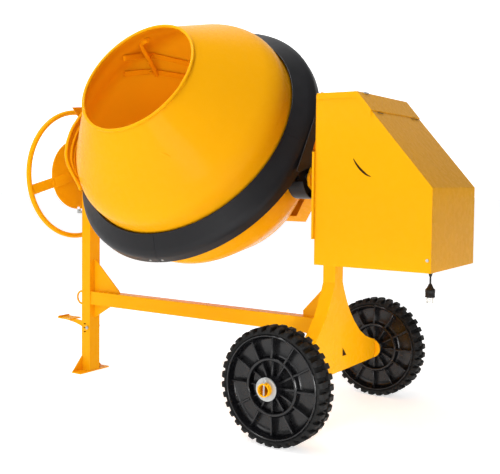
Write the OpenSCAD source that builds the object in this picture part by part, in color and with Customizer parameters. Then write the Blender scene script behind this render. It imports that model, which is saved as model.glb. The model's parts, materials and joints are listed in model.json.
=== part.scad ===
// Tilting-drum concrete mixer on two wheels and a fixed foot. Millimetres, +Z up, ground at Z = 0.

/* [Drum] */
// Tilt of the drum axis above the horizontal at rest
tilt_deg = 32; // [10:1:60]
// Outer radius of the drum's straight band
band_r = 442; // [400:1:460]
// Radius of the mouth inside its rolled lip
mouth_r = 225; // [180:1:260]
// Offset of the drum axis above the tilt axis
drum_off = 94; // [0:1:120]
// Sheet thickness of the drum
drum_t = 4; // [2:0.5:6]

/* [Gear train] */
// Teeth on the ring gear
ring_teeth = 105; // [60:1:140]
// Teeth on the pinion
pinion_teeth = 15; // [10:1:24]
// Pitch radius of the large pulley
pulley_r = 171.5; // [100:0.5:180]
// Pitch radius of the motor pulley
motor_pulley_r = 24.5; // [20:0.5:60]

/* [Frame] */
// Height of the tilt axis above the ground
axis_z = 845; // [700:1:1000]
// Distance between the two columns
span = 1178; // [1100:1:1300]
// Column section across the beam
col_y = 58; // [40:1:80]
// Column section along the beam
col_x = 48; // [40:1:60]
// Underside of the beam
beam_z = 290; // [200:1:400]
// Height of the beam section
beam_h = 56; // [40:1:80]

/* [Wheels] */
// Outer radius of the tyre
tyre_r = 189; // [150:1:220]
// Distance between the wheel centres
track = 737; // [600:1:900]
// Radius of the axle tube
axle_r = 21.2; // [15:0.1:30]

/* [Motor box] */
// Top of the box
box_top = 1114; // [1000:1:1200]
// Bottom of the box
box_bot = 556; // [450:1:650]
// Half depth of the box
box_y = 195; // [150:1:240]
// Radius of the mains cable
cable_r = 3; // [2.5:0.5:5]
// Where the mains cable leaves the box, along the beam
cable_x = 374; // [360:1:390]
// Where the mains cable leaves the box, across the beam
cable_y = -45; // [-60:1:60]

/* [Output] */
// Which sub-part to build, all for every one

/* [Hidden] */
$fn = 64;
shift_x = 457.5;
shift_y = 12.15;
xl = -1180;
xr = xl + span;
xd = (xl + xr) / 2;
bx1 = 433;
bxt = 177;
bzc = 814;
wy = track / 2;
disc_x = -1258;
disc_r = 150;
nose_z = axis_z - disc_r - 1;
lid_x = 36;
lid_z = box_top + 2;
pinion_clear = 80;
yellow = [0.98, 0.70, 0.04];
dark = [0.05, 0.05, 0.06];
steel = [0.70, 0.71, 0.72];

module m() {
  translate([shift_x, shift_y, 0]) children();
}

module tilt() {
  m() translate([xd, 0, axis_z]) rotate([90 - tilt_deg, 0, 0]) children();
}

module drum() {
  tilt() translate([0, drum_off, 0]) children();
}

// a box from its low corner to its high corner
module bx(a, b) {
  translate(a) cube([b[0] - a[0], b[1] - a[1], b[2] - a[2]]);
}

// a cylinder along X
module cx(x0, x1, r) {
  translate([x0, 0, 0]) rotate([0, 90, 0]) cylinder(r = r, h = x1 - x0);
}

// a cylinder along Y
module cy(y0, y1, r) {
  translate([0, y0, 0]) rotate([-90, 0, 0]) cylinder(r = r, h = y1 - y0);
}

// a plate drawn in X and Z and thickened along Y
module xz(y0, y1, pts) {
  translate([0, y1, 0]) rotate([90, 0, 0]) linear_extrude(height = y1 - y0) polygon(pts);
}

// a plate drawn in Y and Z and thickened along X
module yz(x0, x1, pts) {
  translate([x0, 0, 0]) rotate([90, 0, 90]) linear_extrude(height = x1 - x0) polygon(pts);
}

// a rod between two points
module rod(a, b, r) {
  d = b - a;
  l = norm(d);
  translate(a) rotate([0, acos(d[2] / l), atan2(d[1], d[0])]) cylinder(r = r, h = l);
}

// part of a turned section
module turn(a0, a1, pts) {
  rotate([0, 0, a0]) rotate_extrude(angle = a1 - a0, $fn = 128) polygon(pts);
}

// -------------------------------------------------- frame
module left_column() {
  color(yellow) m() difference() {
    bx([xl - col_x / 2, -col_y / 2, 5], [xl + col_x / 2, col_y / 2, 800]);
    bx([xl - col_x / 2 + 3, -col_y / 2 + 3, 0], [xl + col_x / 2 - 3, col_y / 2 - 3, 797]);
    bx([xl - col_x / 2 - 1, -8, 172], [xl - col_x / 2 + 4, 8, 222]);
    bx([xl - col_x / 2 - 1, -8, 668], [xl - col_x / 2 + 4, 8, 706]);
    for (k = [0, 1, 2]) bx([-1193, -col_y / 2 - 1, 168 + 17 * k], [-1179, -col_y / 2 + 4, 173 + 17 * k]);
    translate([-1168, 0, 190]) cy(-40, 40, 4);
  }
}

module foot_plate() {
  color(yellow) m() {
    bx([-1206, -85, 0], [-1153, 85, 5]);
    yz(-1204, -1199, [[-84, 5], [-29, 5], [-29, 66]]);
    yz(-1204, -1199, [[84, 5], [29, 66], [29, 5]]);
  }
}

module beam() {
  color(yellow) m() difference() {
    bx([xl + col_x / 2, -25, beam_z], [xr - col_x / 2, 25, beam_z + beam_h]);
    bx([xl, -22, beam_z + 3], [xr, 22, beam_z + beam_h - 3]);
  }
}

module beam_gussets() {
  x0 = xl + col_x / 2;
  x1 = xr - col_x / 2;
  z1 = beam_z + beam_h;
  color(yellow) m() {
    xz(-3, 3, [[x0, z1], [x0 + 148, z1], [x0 + 140, z1 + 12], [x0, z1 + 140]]);
    xz(-3, 3, [[x0, beam_z], [x0, beam_z - 60], [x0 + 100, beam_z]]);
    xz(-3, 3, [[x1, z1], [x1, z1 + 120], [x1 - 94, z1 + 20], [x1 - 94, z1]]);
    xz(-3, 3, [[x1, beam_z], [x1 - 90, beam_z], [x1, beam_z - 55]]);
  }
}

module right_column() {
  color(yellow) m() difference() {
    bx([xr - col_x / 2, -col_y / 2, 160], [xr + col_x / 2, col_y / 2, 800]);
    bx([xr - col_x / 2 + 3, -col_y / 2 + 3, 155], [xr + col_x / 2 - 3, col_y / 2 - 3, 797]);
    translate([0, 0, tyre_r]) cy(-60, 60, axle_r);
  }
}

// the flared housing's outline, its curved edge first and its straight edge last
curve = [[29, 478], [40, 452], [59, 415], [75, 387], [92, 362], [125, 325], [172, 283], [219, 256],
  [269, 237],
  [300, 231]];
inner = [[300, 228], [268, 234], [217, 253], [170, 280], [122, 323], [89, 360], [72, 385], [56, 413],
  [37, 450],
  [29, 468]];

module skirt_side(s) {
  x0 = xr - col_x / 2;
  x1 = xr + col_x / 2;
  difference() {
    union() {
      yz(x0, x0 + 4, [for (p = concat(curve, [[300, 160], [29, 160]])) [s * p[0], p[1]]]);
      yz(x1 - 4, x1, [for (p = concat(curve, [[300, 160], [29, 160]])) [s * p[0], p[1]]]);
      yz(x0 + 3, x1 - 3, [for (p = concat(curve, inner)) [s * p[0], p[1]]]);
      bx([x0 + 3, s > 0 ? 296 : -300, 160], [x1 - 3, s > 0 ? 300 : -296, 230]);
    }
    translate([0, 0, tyre_r]) cy(-400, 400, axle_r);
  }
}

module axle_skirt() {
  color(yellow) m() {
    skirt_side(1);
    skirt_side(-1);
  }
}

module axle_tube() {
  color(yellow) m() translate([0, 0, tyre_r]) difference() {
    cy(-444, 444, axle_r);
    cy(-450, 450, axle_r - 4);
    for (s = [-1, 1]) translate([0, s * 436, 0]) cylinder(r = 3, h = 60, center = true);
  }
}

module axle_collars() {
  color(yellow) m() translate([0, 0, tyre_r]) for (s = [-1, 1]) difference() {
    cy(s * 318 - 4, s * 318 + 4, 36);
    cy(-400, 400, axle_r);
  }
}

module wheel_washers() {
  color(steel) m() translate([0, 0, tyre_r]) for (s = [-1, 1]) difference() {
    cy(s * 426.5 - 2, s * 426.5 + 2, 37);
    cy(-450, 450, axle_r);
  }
}

module split_pins() {
  color(steel) m() translate([0, 0, tyre_r]) for (s = [-1, 1]) translate([0, s * 436, 0]) {
    cylinder(r = 3, h = 56, center = true);
    translate([0, 0, 31]) rotate([0, 90, 0]) rotate_extrude() translate([5, 0]) circle(r = 1.7, $fn = 24);
  }
}

module tow_loop() {
  z = 311;
  color(yellow) m() {
    rod([-1204, 0, z + 27], [-1232, 0, z + 27], 4);
    rod([-1204, 0, z - 27], [-1232, 0, z - 27], 4);
    translate([-1232, 0, z]) rotate([90, 0, 0]) rotate([0, 0, 90]) rotate_extrude(angle = 180)
      translate([27, 0]) circle(r = 4, $fn = 24);
  }
}

module bearing_block(x, r) {
  translate([x, 0, 0]) difference() {
    union() {
      yz(-24, 24, [[-58, 800], [58, 800], [58, 814], [48, 814], [48, 850], [34, 884], [14, 896], [-14, 896],
        [-34, 884], [-48, 850], [-48, 814], [-58, 814]]);
      translate([0, 0, axis_z]) cx(-24, 24, 50);
    }
    bx([-30, -60, 780], [30, 60, 800]);
    translate([0, 0, axis_z]) cx(-40, 40, r);
  }
}

module bearing_left() {
  color(yellow) m() bearing_block(xl, 25.05);
}

module bearing_right() {
  color(yellow) m() bearing_block(xr, 35.05);
}

module bearing_bolts() {
  color(steel) m() for (x = [xl, xr]) for (s = [-1, 1]) translate([x, s * 53, 814])
    cylinder(r = 4.8, h = 5, $fn = 6);
}

// -------------------------------------------------- motor box
module back_plate() {
  color(yellow) m() difference() {
    bx([xr + col_x / 2, -203, 640], [xr + col_x / 2 + 8, 203, 925]);
    translate([0, 0, axis_z]) cx(0, 60, 40);
  }
}

module box_back() {
  x0 = xr + col_x / 2 + 8;
  color(yellow) m() difference() {
    union() {
      bx([x0, -box_y, box_bot], [x0 + 3, box_y, box_top - 4]);
      bx([x0 + 3, -box_y + 2, box_bot], [bx1 - 2, box_y - 2, box_bot + 3]);
    }
    translate([0, 0, axis_z]) cx(0, 60, 40);
    translate([cable_x, cable_y, box_bot - 5]) cylinder(r = 8, h = 20);
  }
}

module box_cover() {
  x0 = xr + col_x / 2 + 11;
  color(yellow) m() difference() {
    xz(-box_y, box_y, [[x0, box_bot], [bx1, box_bot], [bx1, bzc], [bxt, box_top - 4], [x0, box_top - 4]]);
    xz(-box_y + 2, box_y - 2, [[x0 - 5, box_bot - 5], [bx1 - 2, box_bot - 5], [bx1 - 2, bzc - 1],
      [bxt - 1, box_top - 7],
      [x0 - 5, box_top - 7]]);
    bx([x0 - 5, -box_y + 12, box_top - 30], [bxt + 8, box_y - 12, box_top + 10]);
  }
}

module box_screws() {
  color(steel) m() {
    for (s = [-1, 1]) translate([421, s * (box_y + 1.5), 595]) rotate([90, 0, 0])
      cylinder(r = 5, h = 3, center = true);
  }
}

module motor_body() {
  color([0.25, 0.27, 0.30]) m() translate([0, -90, 655]) difference() {
    union() {
      cx(120, 330, 68);
      for (k = [0:11]) translate([135 + 16 * k, 0, 0]) cx(0, 4, 76);
      cx(112, 120, 76);
      cx(330, 372, 72);
      bx([190, -30, 60], [270, 30, 96]);
    }
    cx(100, 118, 9.55);
  }
}

module motor_bracket() {
  color(yellow) m() {
    bx([130, -160, box_bot + 3], [320, -20, box_bot + 8]);
    for (s = [-1, 1]) for (x = [140, 300]) {
      bx([x, -90 + s * 45 - 6, box_bot + 8], [x + 10, -90 + s * 45 + 6, 655 - 62]);
    }
  }
}

module loop2(r1, r2) {
  hull() {
    translate([0, axis_z]) circle(r = r1, $fn = 72);
    translate([-90, 655]) circle(r = r2, $fn = 48);
  }
}

module drive_belt() {
  color(dark) m() translate([67, 0, 0]) rotate([90, 0, 90]) linear_extrude(height = 12) difference() {
    loop2(pulley_r + 4, motor_pulley_r + 4);
    loop2(pulley_r - 4, motor_pulley_r - 4);
  }
}

module cable_gland() {
  color(dark) m() translate([cable_x, cable_y, 0]) difference() {
    union() {
      translate([0, 0, box_bot - 12]) cylinder(r = 8, h = 24);
      translate([0, 0, box_bot - 12]) cylinder(r = 12, h = 12, $fn = 6);
      translate([0, 0, box_bot + 3]) cylinder(r = 12, h = 6, $fn = 6);
    }
    translate([0, 0, box_bot - 20]) cylinder(r = cable_r, h = 50);
  }
}

module power_cable() {
  color(dark) m() translate([cable_x, cable_y, 506]) cylinder(r = cable_r, h = 80);
}

module plug_body() {
  color(dark) m() translate([cable_x, cable_y, 0]) {
    translate([0, 0, 490]) cylinder(r1 = 11, r2 = 5, h = 16);
    translate([0, 0, 462]) cylinder(r = 16, h = 28);
  }
}

module plug_pins() {
  color(steel) m() translate([cable_x, cable_y, 0]) for (s = [-1, 0, 1]) {
    translate([s * 9.5, abs(s) * 3 - 3, 443]) cylinder(r = 2.4, h = 19);
  }
}

module pedal_pin() {
  color(steel) m() translate([-1168, 0, 190]) {
    cy(-33, 33, 4);
    cy(-36, -33, 7);
    cy(33, 36, 7);
  }
}

module foot_pedal() {
  color(yellow) m() difference() {
    union() {
      xz(-4, 4, [[-1176, 180], [-1166, 180], [-1161, 185], [-1161, 195], [-1166, 200], [-1184, 204],
        [-1262, 212], [-1340, 212], [-1340, 206], [-1276, 198], [-1204, 178]]);
      bx([-1348, -32, 212], [-1273, 32, 217]);
      bx([-1348, -32, 217], [-1343, 32, 223]);
      translate([-1192, 0, 190]) cy(-11, 11, 4);
    }
    translate([-1168, 0, 190]) cy(-40, 40, 4.05);
  }
}

module lock_rod() {
  color(steel) m() difference() {
    union() {
      bx([-1199, -11, 178], [-1182, -5, 240]);
      bx([-1199, 5, 178], [-1182, 11, 240]);
      bx([-1199, -11, 240], [-1182, 11, 250]);
      bx([-1197, -5, 250], [-1187, 5, nose_z - 6]);
      bx([disc_x + 0.5, -5, nose_z - 18], [-1197, 5, nose_z - 6]);
      bx([disc_x + 0.5, -5, nose_z - 6], [disc_x + 12, 5, nose_z]);
    }
    translate([0, -20, 0]) bx([-1196.6, 0, 184.8], [-1186, 40, 195.2]);
  }
}

// -------------------------------------------------- yoke, everything that tilts
yo = [[507, 42], [507, -90], [256, -420], [-256, -420], [-507, -90], [-507, 42]];
yi = [[-501, 42], [-501, -88], [-253, -414], [253, -414], [501, -88], [501, 42]];
yf = [[-462, 42], [-462, -75], [-233.4, -375], [233.4, -375], [462, -75], [462, 42]];

// a plate drawn in the drum's X and axis directions, thickened across them
module xs(p0, p1, pts) {
  translate([0, p1, 0]) rotate([90, 0, 0]) linear_extrude(height = p1 - p0) polygon(pts);
}

module yoke_channel() {
  rim = concat(yo, yf);
  color(yellow) tilt() difference() {
    union() {
      xs(drum_off - 50, drum_off + 50, concat(yo, yi));
      xs(drum_off - 50, drum_off - 45, rim);
      xs(drum_off + 45, drum_off + 50, rim);
    }
    translate([0, drum_off, -430]) cylinder(r = 45, h = 60);
    cx(440, 490, pinion_clear);
  }
}

module trunnion_plates() {
  color(yellow) tilt() {
    for (s = [-1, 1]) difference() {
      translate([s > 0 ? 507 : -517, 0, 0]) rotate([90, 0, 90]) linear_extrude(height = 10)
        polygon([[-52, -40], [-30, -62], [120, -85], [144, -85], [144, 42], [-30, 42], [-52, 20]]);
      cx(s > 0 ? 500 : -520, s > 0 ? 520 : -500, s > 0 ? 20 : 25);
    }
  }
}

module trunnion_left() {
  color(steel) m() translate([0, 0, axis_z]) cx(-1291, xd - 507, 25);
}

module trunnion_right() {
  color(steel) m() translate([0, 0, axis_z]) difference() {
    cx(xd + 517, 24, 35);
    cx(xd + 500, 40, 20);
  }
}

module shaft_bushes() {
  color([0.72, 0.55, 0.30]) m() translate([0, 0, axis_z]) for (x = [xd + 509, -8]) difference() {
    cx(x, x + 30, 20);
    cx(x - 5, x + 40, 15.05);
  }
}

module spindle_housing() {
  color(yellow) drum() difference() {
    union() {
      translate([0, 0, -452]) cylinder(r = 45, h = 72);
      translate([0, 0, -432]) cylinder(r = 72, h = 12);
    }
    translate([0, 0, -460]) cylinder(r = 25.05, h = 90);
  }
}

module lock_disc() {
  color(yellow) m() translate([disc_x, 0, axis_z]) difference() {
    cx(0, 6, disc_r);
    cx(-1, 7, 33);
    for (a = [-58, -30, -15, 0]) rotate([-a, 0, 0]) bx([-1, -9, -disc_r - 6], [7, 9, -disc_r + 9]);
  }
}

module wheel_rim_ring() {
  color(yellow) m() translate([-1262, 0, axis_z]) rotate([0, 90, 0]) rotate_extrude($fn = 128)
    translate([265.5, 0]) circle(r = 10.5, $fn = 32);
}

module wheel_spokes() {
  color(yellow) m() translate([-1262, 0, axis_z]) for (a = [195, 315, 75]) difference() {
    rotate([a, 0, 0]) bx([-4, 25, -21], [4, 257, 21]);
    cx(-10, 10, 33);
    rotate([0, 90, 0]) rotate_extrude($fn = 128) translate([265.5, 0]) circle(r = 10.5, $fn = 32);
  }
  // flats on the near face of the locking disc, in line with the spokes
  color(yellow) m() translate([disc_x + 6, 0, axis_z]) for (a = [195, 315, 75]) difference() {
    rotate([a, 0, 0]) bx([0, 25, -21], [2.5, 138, 21]);
    cx(-10, 10, 33);
  }
}

module wheel_hub() {
  color(yellow) m() translate([-1262, 0, axis_z]) difference() {
    cx(-22, 26, 33);
    cx(-40, 40, 25);
  }
}

gp = [[450, 170], [500, 134], [512, 119], [512, 82], [515, 82], [515, 120], [502, 137], [452, 173]];

module guard_upper() {
  color(dark) drum() turn(-2, 155, gp);
}

module guard_right() {
  color(dark) drum() turn(-85, -2.3, gp);
}

module guard_lower() {
  color(dark) drum() difference() {
    turn(-150, -85.3, gp);
    rotate([0, 0, -98]) translate([489, 0, 120]) cylinder(r = 5, h = 60);
  }
}

module guard_left() {
  color(yellow) drum() {
    turn(155.3, 209.7, [[450, 170], [500, 134], [511, 119], [511, 115], [512, 115], [512, 120], [502, 137],
      [452, 173]]);
    intersection() {
      turn(155.3, 209.7, [[512, 82], [515, 82], [515, 260], [512, 260]]);
      translate([-600, 0, 0]) rotate([90, 0, 90]) linear_extrude(height = 300) polygon([[-262, 80],
        [-262, 122],
        [-234, 147], [-201, 207], [-168, 238], [-107, 250], [-36, 252], [54, 240], [120, 215], [180, 160],
          [222, 130],
        [222, 80]]);
    }
    translate([-517, 0, 0]) rotate([90, 0, 90]) linear_extrude(height = 4)
      polygon([[8, 205], [8, 240], [26, 247], [39, 294], [112, 199], [60, 190]]);
  }
}

module guard_stays() {
  color(yellow) drum() {
    for (s = [-1, 1]) translate([s * 509.2 - 2.2, -20, 42]) cube([4.4, 40, 72]);
  }
}

module pinion_cover() {
  color(dark) tilt() translate([518, 0, 0]) rotate([90, 0, 90]) linear_extrude(height = 3)
    polygon([[-60, 130], [-54, 114], [32, 26], [46, 17], [46, 80], [60, 80], [135, 86], [165, 112],
      [165, 130]]);
  // the band round the free side of the pinion
  color(dark) tilt() translate([440, 0, 0]) rotate([90, 0, 90]) rotate([0, 0, 135])
    rotate_extrude(angle = 165) translate([77, 0]) square([2.5, 67]);
}

module guard_bolts() {
  color(steel) drum() {
    for (a = [-88, -82, -5, 1, 150, 160, -145]) rotate([0, 0, a]) translate([515, 0, 100]) rotate([0, 90, 0])
      cylinder(r = 5, h = 2.8, $fn = 6);
  }
}

// -------------------------------------------------- drum
module drum_cone() {
  t = drum_t;
  b = band_r;
  color(yellow) drum() difference() {
    turn(0, 360, [[mouth_r, 483], [mouth_r + 4, 486], [418, 287], [431, 271], [439, 253], [b, 232],
      [b, 112], [500, 112], [500, 106], [b - t, 106], [b - t, 231], [435, 251], [427.5, 268.5], [415, 284]]);
    lip();
  }
}

module drum_bowl() {
  t = drum_t;
  b = band_r;
  color(yellow) drum() turn(0, 360, [[26, -342], [190, -340], [225, -332], [250, -318], [268, -302],
    [433, -90],
    [440, -72], [b, -55], [b, 100], [500, 100], [500, 106], [b - t, 106], [b - t, -55], [436, -71],
      [429.4, -87.5],
    [264, -299.5], [246, -315], [222, -328], [189, -336], [26, -338]]);
}

// the bead round the mouth
module lip() {
  translate([0, 0, 490]) rotate_extrude($fn = 128) translate([mouth_r + 3, 0]) circle(r = 6, $fn = 32);
}

module mouth_lip() {
  color(yellow) drum() lip();
}

module ring_gear() {
  color(steel) drum() {
    translate([0, 0, 80]) difference() {
      cylinder(r = 494, h = 20, $fn = 128);
      translate([0, 0, -1]) cylinder(r = 448, h = 22, $fn = 128);
    }
    for (k = [0:ring_teeth - 1]) rotate([0, 0, -11.57 + (k + 0.5) * 360 / ring_teeth]) translate([456, 0, 0])
      rotate([90, 0, 90]) linear_extrude(height = 28) polygon([[-6.5, 80.5], [-3, 60.5], [3, 60.5],
        [6.5, 80.5]]);
  }
}

// a square bar between two points
module bar(a, b, w) {
  d = b - a;
  l = norm(d);
  translate(a) rotate([0, acos(d[2] / l), atan2(d[1], d[0])]) translate([-w / 2, -w / 2, 0]) cube([w, w, l]);
}

module stud(a, s, r0, r1) {
  rotate([0, 0, a]) translate([r0, -5, s - 5]) cube([r1 - r0, 10, 10]);
}

module blade_set() {
  bar([-228, 181, 388], [-268, 320, 250], 14);
  bar([-266, 322, 254], [-182, 380, 112], 14.2);
  bar([-350, 221, 260], [-302, 292, 183], 13.9);
  bar([-304, 289, 187], [-216, 362, 47], 14.1);
  bar([-300, 300, 142], [-185, 253, 364], 13);
  bar([-186, 254, 360], [-137, 250, 392], 12.7);
  stud(115.6, 118, 415, 437.6);
  stud(129.2, 246, 412, 431);
  stud(136, 183, 415, 437.6);
  stud(120.8, 54, 415, 437.6);
}

module blade_bars() {
  color(yellow) drum() {
    blade_set();
    rotate([0, 0, 180]) blade_set();
  }
}

module drum_spindle() {
  color(steel) drum() {
    translate([0, 0, -354]) cylinder(r = 110, h = 12);
    translate([0, 0, -342]) cylinder(r = 26, h = 12);
    translate([0, 0, -470]) cylinder(r = 25, h = 120);
    translate([0, 0, -474]) cylinder(r = 36, h = 20, $fn = 6);
  }
}

// -------------------------------------------------- drive
module pinion() {
  color(steel) tilt() difference() {
    union() {
      cx(447, 481, 59);
      for (k = [0:pinion_teeth - 1]) rotate([k * 360 / pinion_teeth, 0, 0]) translate([447, 0, 0])
        rotate([90, 0, 90]) linear_extrude(height = 34) polygon([[-7, 56], [7, 56], [3, 75], [-3, 75]]);
    }
    cx(440, 500, 15);
  }
}

module pinion_shaft() {
  color(steel) m() translate([0, 0, axis_z]) cx(xd + 447, 104, 15);
}

module large_pulley() {
  color([0.35, 0.36, 0.38]) m() translate([0, 0, axis_z]) difference() {
    union() {
      cx(62, 84, pulley_r + 4.5);
      cx(58, 98, 32);
    }
    difference() {
      cx(66.5, 79.5, 190);
      cx(60, 90, pulley_r - 5);
    }
    for (s = [60, 78]) difference() {
      cx(s, s + 8, 150);
      cx(s - 1, s + 9, 45);
    }
    for (k = [0:4]) rotate([72 * k, 0, 0]) translate([0, 98, 0]) cx(50, 100, 34);
    cx(50, 110, 15);
  }
}

module motor_shaft() {
  color(steel) m() translate([0, -90, 655]) difference() {
    union() {
      cx(56, 118, 9.5);
      cx(62, 84, motor_pulley_r + 3);
      cx(84, 98, 16);
    }
    difference() {
      cx(66.5, 79.5, 60);
      cx(60, 90, motor_pulley_r - 5);
    }
  }
}

// -------------------------------------------------- wheels
module wheel(s) {
  color(dark) m() translate([0, s * wy, tyre_r]) difference() {
    union() {
      rotate([90, 0, 0]) rotate_extrude($fn = 96) polygon(wheel_pts(s));
      for (k = [0:11]) rotate([0, 30 * k, 0]) {
        bx([33, -28, -4], [83, 28, 4]);
        bx([91, -34, -4], [156, 34, 4]);
      }
    }
    cy(-60, 60, axle_r + 0.08);
  }
}

function wheel_pts(s) = s < 0 ? [for (p = wprof) [p[0], p[1]]] : [for (p = wprof) [p[0], -p[1]]];
wprof = [[20, -42], [34, -42], [34, -8], [82, -8], [82, -32], [92, -32], [92, -8], [153, -8], [153, -40],
  [165, -40], [165, 40], [153, 40], [153, 8], [92, 8], [92, 32], [82, 32], [82, 8], [34, 8], [34, 56],
    [20, 56]];

module near_wheel() {
  wheel(-1);
}

module far_wheel() {
  wheel(1);
}

module tyre(s) {
  color(dark) m() translate([0, s * wy, tyre_r]) difference() {
    rotate([90, 0, 0]) rotate_extrude($fn = 96) polygon([[165, -38], [172, -42], [182, -40], [189, -30],
      [189, 30],
      [182, 40], [172, 42], [165, 38]]);
    for (k = [0:33]) rotate([0, k * 360 / 34, 0]) {
      bx([180, -45, -4], [200, -8, 4]);
    }
    for (k = [0:33]) rotate([0, (k + 0.5) * 360 / 34, 0]) {
      bx([180, 8, -4], [200, 45, 4]);
    }
  }
}

module near_tyre() {
  tyre(-1);
}

module far_tyre() {
  tyre(1);
}

module box_lid() {
  x0 = 34;
  color(yellow) m() difference() {
    xz(-box_y - 2.5, box_y + 2.5, [[x0, box_top - 20], [x0, box_top], [bxt + 1, box_top], [229, 1053.5],
      [227, 1051],
      [227, 1032], [176, 1092], [150, box_top - 20]]);
    xz(-box_y - 0.6, box_y + 0.6, [[x0 - 5, box_top - 30], [x0 - 5, box_top - 2.5],
      [bxt - 0.4, box_top - 2.5],
      [240, 1037], [240, 1000]]);
  }
  // hinge knuckles
  color(yellow) m() for (s = [-1, 1]) translate([lid_x, 0, lid_z]) cy(s * 150 - 20, s * 150 + 20, 4);
}

left_column();
foot_plate();
beam();
beam_gussets();
right_column();
axle_skirt();
axle_tube();
axle_collars();
wheel_washers();
split_pins();
tow_loop();
bearing_left();
bearing_right();
bearing_bolts();
back_plate();
box_back();
box_cover();
box_screws();
motor_body();
motor_bracket();
drive_belt();
cable_gland();
power_cable();
plug_body();
plug_pins();
pedal_pin();
yoke_channel();
trunnion_plates();
trunnion_left();
trunnion_right();
shaft_bushes();
spindle_housing();
lock_disc();
wheel_rim_ring();
wheel_spokes();
wheel_hub();
guard_upper();
guard_right();
guard_lower();
guard_left();
guard_stays();
pinion_cover();
guard_bolts();
drum_cone();
drum_bowl();
mouth_lip();
ring_gear();
blade_bars();
drum_spindle();
pinion();
pinion_shaft();
large_pulley();
motor_shaft();
near_wheel();
near_tyre();
far_wheel();
far_tyre();
box_lid();
foot_pedal();
lock_rod();
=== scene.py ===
# %% [markdown]
# # A tilting-drum concrete mixer
# The machine is a double-cone drum in a yoke that tilts between two columns, with a ring gear under a black
# guard, a motor box at one end and a handwheel at the other. Its size and its joints are already settled in a
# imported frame. This notebook gives each part its pressed, cast, moulded or painted surface.

# %% Load the frame
import json
import math

import bmesh
import bpy
from mathutils import Matrix, Vector


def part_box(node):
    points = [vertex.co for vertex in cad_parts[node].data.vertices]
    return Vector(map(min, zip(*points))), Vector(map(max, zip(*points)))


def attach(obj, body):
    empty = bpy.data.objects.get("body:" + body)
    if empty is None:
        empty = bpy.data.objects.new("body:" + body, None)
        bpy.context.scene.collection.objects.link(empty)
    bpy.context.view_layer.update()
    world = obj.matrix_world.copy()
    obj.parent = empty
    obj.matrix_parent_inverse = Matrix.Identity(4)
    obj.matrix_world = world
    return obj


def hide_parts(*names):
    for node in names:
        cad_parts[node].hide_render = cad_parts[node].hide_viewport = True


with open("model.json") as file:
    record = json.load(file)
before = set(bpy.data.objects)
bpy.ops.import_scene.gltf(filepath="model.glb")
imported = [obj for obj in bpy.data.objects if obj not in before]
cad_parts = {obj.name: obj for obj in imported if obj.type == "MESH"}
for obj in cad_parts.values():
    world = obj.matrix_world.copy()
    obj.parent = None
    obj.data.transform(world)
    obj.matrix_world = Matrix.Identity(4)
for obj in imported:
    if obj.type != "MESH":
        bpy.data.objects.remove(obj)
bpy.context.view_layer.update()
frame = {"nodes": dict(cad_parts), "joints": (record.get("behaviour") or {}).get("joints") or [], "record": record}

JOINTS = {j["name"]: j for j in frame["joints"]}

# %% [markdown]
# Every part is placed from the joints and from the boxes of the frame's own nodes. The drum and its guard are
# turned shapes, so they are drawn around a local Z that runs along the drum's axis and then moved by one
# matrix. The same is done for each wheel and for the handwheel. Lengths in the shapes below are in
# millimetres, and MM turns them into metres.

# %% Local frames
MM = 0.001


def joint_point(name):
    return Vector(JOINTS[name]["pos_m"])


def axes(x, y, z, origin):
    """The matrix whose columns are the three axes and the origin."""
    return Matrix.Translation(origin) @ Matrix((x, y, z)).transposed().to_4x4()


X_AXIS, Y_AXIS, Z_AXIS = Vector((1, 0, 0)), Vector((0, 1, 0)), Vector((0, 0, 1))
drum_axis = Vector(JOINTS["drum_spin"]["axis"]).normalized()
DRUM = axes(X_AXIS, drum_axis.cross(X_AXIS), drum_axis, joint_point("drum_spin"))
ring_lo, ring_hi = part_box("wheel_rim_ring")
HAND = axes(Y_AXIS, Z_AXIS, X_AXIS, (ring_lo + ring_hi) / 2)
near_axle, far_axle = joint_point("near_wheel_spin"), joint_point("far_wheel_spin")
NEAR = axes(X_AXIS, Z_AXIS, -Y_AXIS, near_axle)
FAR = axes(-X_AXIS, Z_AXIS, Y_AXIS, far_axle)
ORIGIN = Vector((near_axle.x, (near_axle.y + far_axle.y) / 2, 0))  # on the ground under the axle's middle
print("drum centre", [round(v, 3) for v in DRUM.translation], "axle above ground", round(near_axle.z, 3))

# %% [markdown]
# The camera stands at the height of the drum and looks at the machine from the side of the motor box. A long
# lens keeps the columns nearly upright, and a small shift frames the picture without tipping the camera.

# %% Camera
CAMERA_PLACE = (1.7673, -2.4493, 0.8341)
CAMERA_TURN, CAMERA_PITCH, CAMERA_ROLL = 32.8, 87.5, 0.7  # degrees

camera_data = bpy.data.cameras.new("camera")
camera = bpy.data.objects.new("camera", camera_data)
bpy.context.scene.collection.objects.link(camera)
camera_turn = (
    Matrix.Rotation(math.radians(CAMERA_TURN), 4, "Z") @ Matrix.Rotation(math.radians(CAMERA_PITCH), 4, "X")
)
camera_roll = Matrix.Rotation(math.radians(CAMERA_ROLL), 4, "Z")
camera.matrix_world = Matrix.Translation(CAMERA_PLACE) @ camera_turn @ camera_roll
camera_data.sensor_width = 36
camera_data.lens = 57.38
camera_data.shift_x = -0.0358
camera_data.shift_y = -0.0462
camera_data.clip_end = 100
bpy.context.scene.camera = camera
print("camera", [round(v, 2) for v in camera.location])

# %% [markdown]
# A finish is a small node tree. All of them share the same idea: a soft, large noise moves the colour a
# little, a finer noise moves the roughness, and a very fine one gives the bump. Real paint and plastic are
# never quite even, and that unevenness makes the highlights look like a surface instead of a flat colour.

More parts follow.
